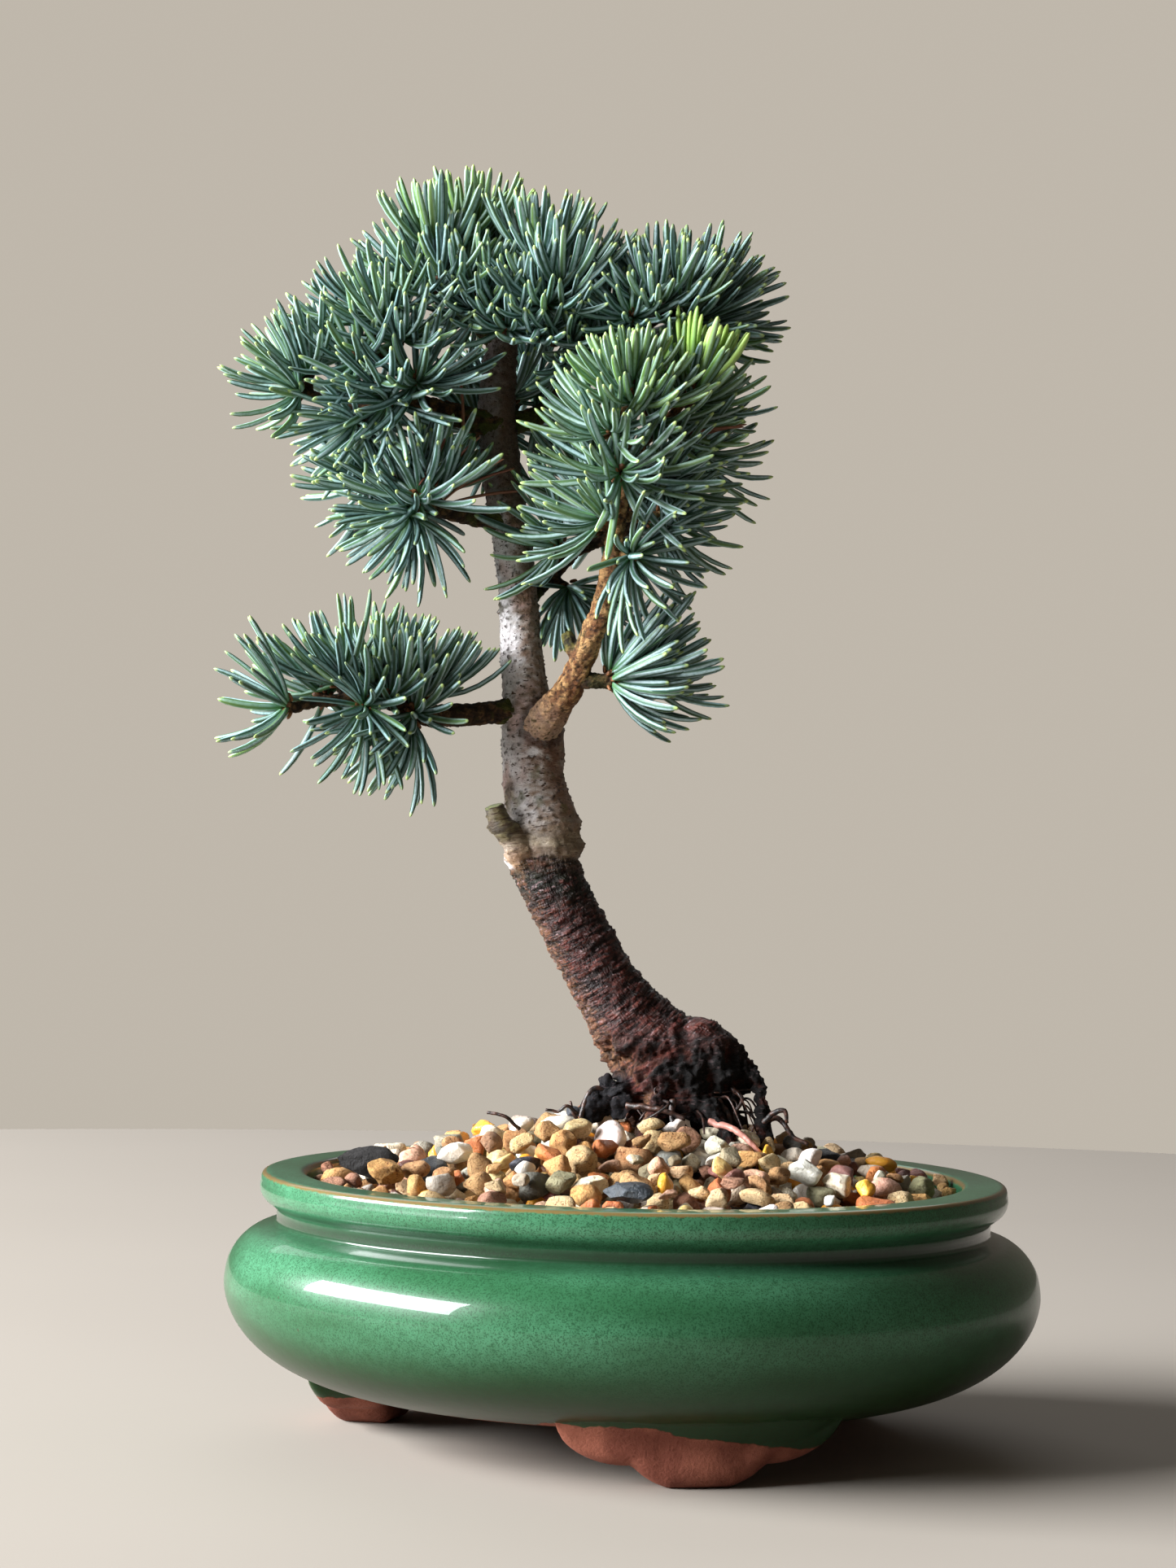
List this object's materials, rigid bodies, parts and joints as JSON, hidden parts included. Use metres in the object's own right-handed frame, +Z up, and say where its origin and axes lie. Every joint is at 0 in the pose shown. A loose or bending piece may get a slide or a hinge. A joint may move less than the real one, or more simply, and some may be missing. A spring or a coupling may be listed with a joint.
{
  "type": "potted bonsai tree",
  "caption": "Young blue cedar bonsai with an S-curved trunk and needle tufts, in a round green glazed pot dressed with pebbles, standing on cloud-shaped feet.",
  "frame": {"origin": "on the pot's axis, on the surface that its feet stand on", "axes": "+Z up along the pot's axis; -Y is the front of the tree; +X to the right seen from the front"},
  "size_m": [0.2, 0.2, 0.3128],
  "materials": {
    "glazed_pot": "glossy jade green glaze, with bare terracotta feet",
    "mesh_plastic": "matt black",
    "clip_wire": "plain drawn wire",
    "soil": "dark gritty potting soil",
    "gravel": "small rounded mixed river pebbles",
    "dark_stone": "matt black slate",
    "tan_stone": "rough tan sandstone",
    "trunk_bark": "red-brown ringed bark below, smooth grey above",
    "branch_bark": "flaking orange-brown young bark",
    "needles": "waxy blue-green living needles"
  },
  "bodies": {
    "root": {"pot": "glazed_pot", "drainage_mesh": "mesh_plastic", "mesh_clip": "clip_wire", "soil": "soil", "gravel": "gravel", "stone_black": "dark_stone", "stone_tan": "tan_stone", "stone_slate": "dark_stone", "trunk": "trunk_bark", "branch_lower_left": "branch_bark", "branch_middle_left": "branch_bark", "branch_upper_left": "branch_bark", "branch_top_left": "branch_bark", "branch_top_back": "branch_bark", "branch_front_right": "branch_bark", "branch_front_low": "branch_bark", "branch_back_right": "branch_bark", "branch_top_right": "branch_bark", "branch_back": "branch_bark", "needles_lower_left_1": "needles", "needles_lower_left_2": "needles", "needles_lower_left_3": "needles", "needles_lower_left_4": "needles", "needles_lower_left_5": "needles", "needles_middle_left_1": "needles", "needles_middle_left_2": "needles", "needles_middle_left_3": "needles", "needles_upper_left_1": "needles", "needles_upper_left_2": "needles", "needles_upper_left_3": "needles", "needles_upper_left_4": "needles", "needles_upper_left_5": "needles", "needles_top_left_1": "needles", "needles_top_left_2": "needles", "needles_top_back_1": "needles", "needles_front_right_1": "needles", "needles_front_right_2": "needles", "needles_front_right_3": "needles", "needles_front_right_4": "needles", "needles_front_right_5": "needles", "needles_front_right_6": "needles", "needles_front_low_1": "needles", "needles_back_right_1": "needles", "needles_back_right_2": "needles", "needles_back_right_3": "needles", "needles_back_right_4": "needles", "needles_top_right_1": "needles", "needles_top_right_2": "needles", "needles_top_right_3": "needles", "needles_top_right_4": "needles", "needles_back_1": "needles", "needles_back_2": "needles", "needles_back_3": "needles", "needles_top_1": "needles", "needles_top_2": "needles", "needles_top_3": "needles", "needles_top_4": "needles"}
  },
  "joints": []
}
